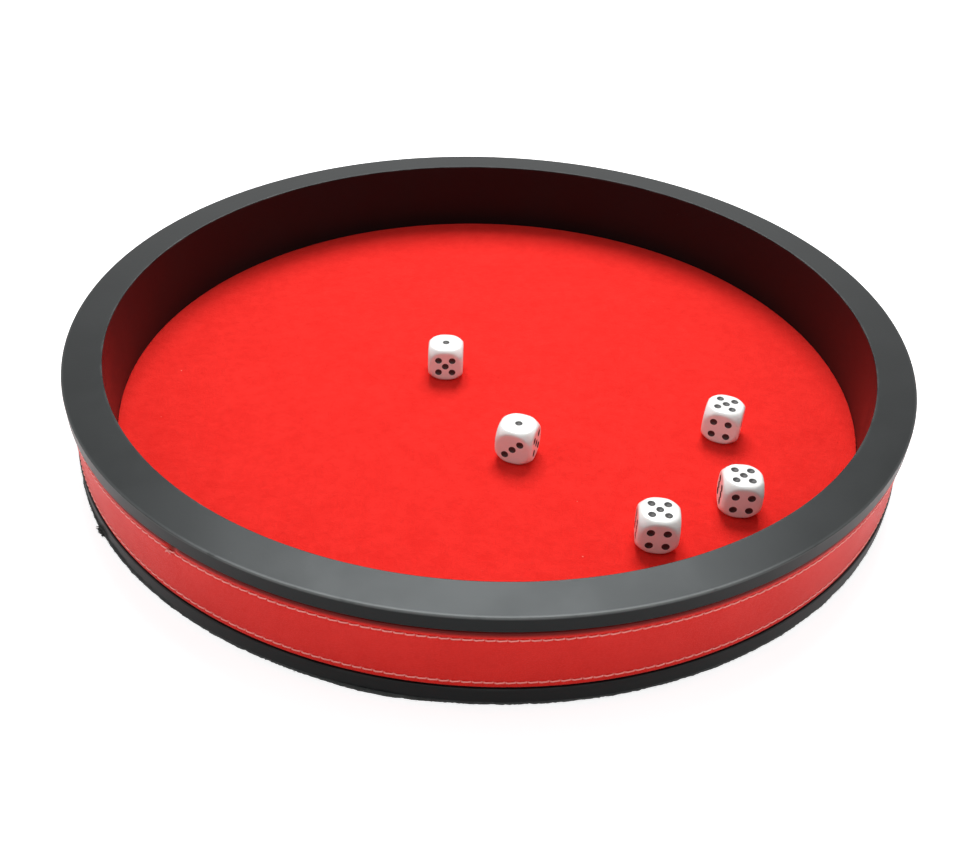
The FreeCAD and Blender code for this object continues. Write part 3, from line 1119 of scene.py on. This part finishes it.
FACE_NORMALS = {
    1: Vector((0, 0, 1)),
    2: Vector((-1, 0, 0)),
    3: Vector((0, -1, 0)),
    4: Vector((0, 1, 0)),
    5: Vector((1, 0, 0)),
    6: Vector((0, 0, -1)),
}
PIP_LAYOUTS = {
    1: ((0, 0),),
    2: ((-1, -1), (1, 1)),
    3: ((-1, -1), (0, 0), (1, 1)),
    4: ((-1, -1), (-1, 1), (1, -1), (1, 1)),
    5: ((-1, -1), (-1, 1), (0, 0), (1, -1), (1, 1)),
    6: ((-1, -1), (0, -1), (1, -1), (-1, 1), (0, 1), (1, 1)),
}

# Each die's turn from square to the viewer in degrees, its face on top and the face
# towards the viewer
DICE_AS_THROWN = {
    "die_1": (1.1, 1, 5),
    "die_2": (-17.1, 1, 3),
    "die_3": (-19.6, 5, 4),
    "die_4": (-3.9, 5, 4),
    "die_5": (-3.6, 5, 4),
}


def least_softly(first, second, softness):
    """The smaller of two lengths, with a smooth passage between them."""
    both = math.exp((second - first) / softness) + 1
    return second - softness * math.log(both)


def die_point(dice, point):
    """Where a point of the plain cube goes on a die with round edges and turned corners."""
    inner = dice.size / 2 - dice.edge_round
    core = Vector(max(-inner, min(inner, part)) for part in point)
    rounded = core + (point - core).normalized() * dice.edge_round
    reach = rounded.length
    return rounded * (least_softly(reach, dice.corner_ball, CORNER_SOFTNESS) / reach)


def pip_places(dice):
    """A matrix for each pip: its centre on the face, with Z out of the face."""
    for value, normal in FACE_NORMALS.items():
        along = Vector((0, 1, 0)) if normal.x else Vector((1, 0, 0))
        across = normal.cross(along)
        turn = Matrix((along, across, normal)).transposed().to_4x4()
        for column, row in PIP_LAYOUTS[value]:
            aside = along * (column * dice.pip_spacing) + across * (row * dice.pip_spacing)
            yield Matrix.Translation(normal * (dice.size / 2) + aside) @ turn


def dimple_radius(dice):
    return (dice.pip_diameter ** 2 / 4 + dice.pip_depth ** 2) / (2 * dice.pip_depth)


def dimple_outline(dice, steps, above):
    """Corners (radius, height) of a dimple, with height 0 on the die's face, up to a height."""
    radius = dimple_radius(dice)
    bottom = radius - dice.pip_depth
    steepest = math.acos((bottom - above) / radius)
    turns = [steepest * number / steps for number in range(steps + 1)]
    return [(radius * math.sin(turn), bottom - radius * math.cos(turn)) for turn in turns]


def build_die(dice):
    """The white body of a die about its own middle, with its dimples cut."""
    blank = bmesh.new()
    bmesh.ops.create_cube(blank, size=dice.size)
    bmesh.ops.subdivide_edges(blank, edges=blank.edges, cuts=DIE_CUTS, use_grid_fill=True)
    for vert in blank.verts:
        vert.co = die_point(dice, vert.co)
    rings, lip, over_face = 14, 0.02 * MM, 0.4 * MM
    outline = dimple_outline(dice, rings, lip)
    corners = outline + [(outline[-1][0], over_face), (0, over_face)]
    lens = kept_as("dimple", turned(corners, DIMPLE_STEPS, closed=False))
    dimples = repeated([lens], [(0, place) for place in pip_places(dice)])
    body = add_object("die_blank", kept_as("die_blank", blank))
    cutter = add_object("die_dimples", kept_as("die_dimples", dimples))
    cut = body.modifiers.new("Dimples", "BOOLEAN")
    cut.operation = "DIFFERENCE"
    cut.solver = "MANIFOLD"
    cut.object = cutter
    bpy.context.view_layer.update()
    evaluated = body.evaluated_get(bpy.context.evaluated_depsgraph_get())
    dimpled = bpy.data.meshes.new_from_object(evaluated)
    shape = bmesh.new()
    shape.from_mesh(dimpled)
    for left_over in (body, cutter):
        mesh = left_over.data
        bpy.data.objects.remove(left_over)
        bpy.data.meshes.remove(mesh)
    bpy.data.meshes.remove(dimpled)
    return shape


def build_pips(dice):
    """A thin skin of paint in each dimple, thickest in the middle."""
    coat, bite, spill, rings = 0.13 * MM, 0.04 * MM, 0.04 * MM, 8
    hollow = dimple_outline(dice, rings, 0)
    hollow.append((hollow[-1][0] + spill, 0))
    under = [(out, height - bite) for out, height in hollow]
    over = [
        (out, height + coat * max(0.05, 1 - 0.9 * (number / rings) ** 4))
        for number, (out, height) in enumerate(hollow)
    ]
    skin = kept_as("pip_skin", turned(under + over[::-1], PAINT_STEPS, closed=False))
    return repeated([skin], [(0, place) for place in pip_places(dice)])


def faces_laid(top, front):
    """The turn that brings one face of a die to the top and another to the front."""
    up, towards = FACE_NORMALS[top], FACE_NORMALS[front]
    return Matrix((up.cross(towards), -towards, up)).to_4x4()


class DICETRAY_OT_dice(bpy.types.Operator):
    """Make the five dice and the paint in their pips"""

    bl_idname = "dice_tray.dice"
    bl_label = "Dice"

    def execute(self, context):
        dice = context.scene.dice_tray.dice
        resin, paint = resin_material(dice), pip_material(dice)
        body, pips = build_die(dice), build_pips(dice)
        for node, (turn, top, front) in DICE_AS_THROWN.items():
            place = Matrix.Translation(middle_of(node)) @ Matrix.Rotation(math.radians(turn), 4, "Z")
            place = place @ faces_laid(top, front)
            for part, shape, finish, slot, stood_for in (
                ("body", body, resin, "white_plastic", node),
                ("paint", pips, paint, "pip_paint", f"{node}_pips"),
            ):
                laid = shape.copy()
                bmesh.ops.transform(laid, matrix=place, verts=laid.verts)
                add_piece(f"{node}_{part}", laid, finish, node, [stood_for], CREASE)
        body.free()
        pips.free()
        return {"FINISHED"}


# Stage


def floor_material(stage):
    """A floor that shows white, keeps the tray's shadow and is clear from underneath.

    It is clear to light from what stands on it too, so that the underside isn't left black.
    """
    material = bpy.data.materials.new("pale_floor")
    material.use_nodes = True
    tree = material.node_tree
    tree.nodes.clear()
    place = tree.nodes.new("ShaderNodeTexCoord").outputs["Object"]
    cloud = add_mottle(tree, place, 0.5)
    color = add_mix(tree, cloud, shade_of(stage.floor, 0.985), opaque(stage.floor))
    matte = add_node(tree, "ShaderNodeBsdfDiffuse", {"Color": color})
    away = add_vector_math(tree, "LENGTH", place)["Value"]
    glow = add_range(tree, away, *FLOOR_GLOW_SPAN, to_low=FLOOR_GLOW, to_high=1.0)
    white = add_node(tree, "ShaderNodeEmission", {"Strength": glow})
    seen = tree.nodes.new("ShaderNodeLightPath").outputs
    in_gloss = times(tree, seen["Is Glossy Ray"], GLOSSY_GLOW)
    shown = highest(tree, seen["Is Camera Ray"], in_gloss, seen["Is Transmission Ray"])
    bright = add_node(tree, "ShaderNodeAddShader", {0: matte.outputs[0], 1: white.outputs[0]})
    lit = add_node(tree, "ShaderNodeMixShader", {0: shown, 1: matte.outputs[0], 2: bright.outputs[0]})
    touching = add_math(tree, "LESS_THAN", seen["Ray Length"], CONTACT)
    under = tree.nodes.new("ShaderNodeNewGeometry").outputs["Backfacing"]
    below = add_node(tree, "ShaderNodeMixShader", {
        0: highest(tree, under, touching),
        1: lit.outputs[0],
        2: tree.nodes.new("ShaderNodeBsdfTransparent").outputs[0],
    })
    add_node(tree, "ShaderNodeOutputMaterial", {"Surface": below.outputs[0]})
    return material


def set_world(stage):
    """White where it is seen, and a soft even fill for everything else."""
    world = bpy.data.worlds.new("white_room")
    bpy.context.scene.world = world
    world.use_nodes = True
    tree = world.node_tree
    tree.nodes.clear()
    seen = tree.nodes.new("ShaderNodeLightPath").outputs
    shown = highest(tree, *(seen[f"Is {kind} Ray"] for kind in ("Camera", "Glossy", "Transmission")))
    color = add_mix(tree, shown, opaque(stage.surround), (1, 1, 1, 1))
    sky = add_node(tree, "ShaderNodeBackground", {"Color": color})
    add_node(tree, "ShaderNodeOutputWorld", {"Surface": sky.outputs[0]})


def add_softbox(name, place, size, power):
    """A lamp that faces the origin and isn't seen itself."""
    light = bpy.data.lights.new(name, "AREA")
    light.shape = "RECTANGLE"
    light.size, light.size_y = size
    light.energy = power
    lamp = add_object(name, light)
    lamp.location = place
    lamp.rotation_euler = (Vector() - Vector(place)).to_track_quat("-Z", "Y").to_euler()
    lamp.visible_camera = False


def add_camera(stage):
    camera = bpy.data.cameras.new("camera")
    camera.lens = stage.camera_lens
    camera.sensor_width = SENSOR_WIDTH
    camera.clip_start = 10 * MM
    placed = add_object("camera", camera)
    placed.matrix_world = (
        Matrix.Translation(stage.camera_place)
        @ Matrix.Rotation(-stage.camera_yaw, 4, "Z")
        @ Matrix.Rotation(math.pi / 2 - stage.camera_pitch, 4, "X")
        @ Matrix.Rotation(stage.camera_roll, 4, "Z")
    )
    bpy.context.scene.camera = placed


class DICETRAY_OT_stage(bpy.types.Operator):
    """Make the floor, the lamps and the camera"""

    bl_idname = "dice_tray.stage"
    bl_label = "Stage"

    def execute(self, context):
        stage = context.scene.dice_tray.stage
        shape = bmesh.new()
        bmesh.ops.create_circle(shape, cap_ends=True, segments=64, radius=stage.floor_radius)
        floor = add_object("pale_floor", kept_as("pale_floor", shape))
        floor.data.materials.append(floor_material(stage))
        set_world(stage)
        for name, (place, size, power) in SOFTBOXES.items():
            add_softbox(name, place, size, power)
        add_camera(stage)
        bpy.context.scene.view_settings.view_transform = "Standard"
        return {"FINISHED"}


class DICETRAY_PT_sidebar(bpy.types.Panel):
    """Lists the steps that dress the tray, in order"""

    bl_idname = "DICETRAY_PT_sidebar"
    bl_label = "Dice tray"
    bl_space_type = "VIEW_3D"
    bl_region_type = "UI"
    bl_category = "Dice tray"

    def draw(self, context):
        for step in STEPS:
            self.layout.operator(step.bl_idname)


STEPS = (
    DICETRAY_OT_wall,
    DICETRAY_OT_floor,
    DICETRAY_OT_band,
    DICETRAY_OT_stitches,
    DICETRAY_OT_dice,
    DICETRAY_OT_stage,
)
CLASSES = (
    WallSettings,
    FloorSettings,
    BandSettings,
    ThreadSettings,
    DiceSettings,
    StageSettings,
    DiceTraySettings,
    *STEPS,
    DICETRAY_PT_sidebar,
)


def register():
    for made in CLASSES:
        bpy.utils.register_class(made)
    bpy.types.Scene.dice_tray = bpy.props.PointerProperty(type=DiceTraySettings)


def unregister():
    del bpy.types.Scene.dice_tray
    for made in reversed(CLASSES):
        bpy.utils.unregister_class(made)


def main():
    register()
    bpy.ops.dice_tray.wall()
    bpy.ops.dice_tray.floor()
    bpy.ops.dice_tray.band()
    bpy.ops.dice_tray.stitches()
    bpy.ops.dice_tray.dice()
    bpy.ops.dice_tray.stage()


if __name__ == "__main__":
    main()
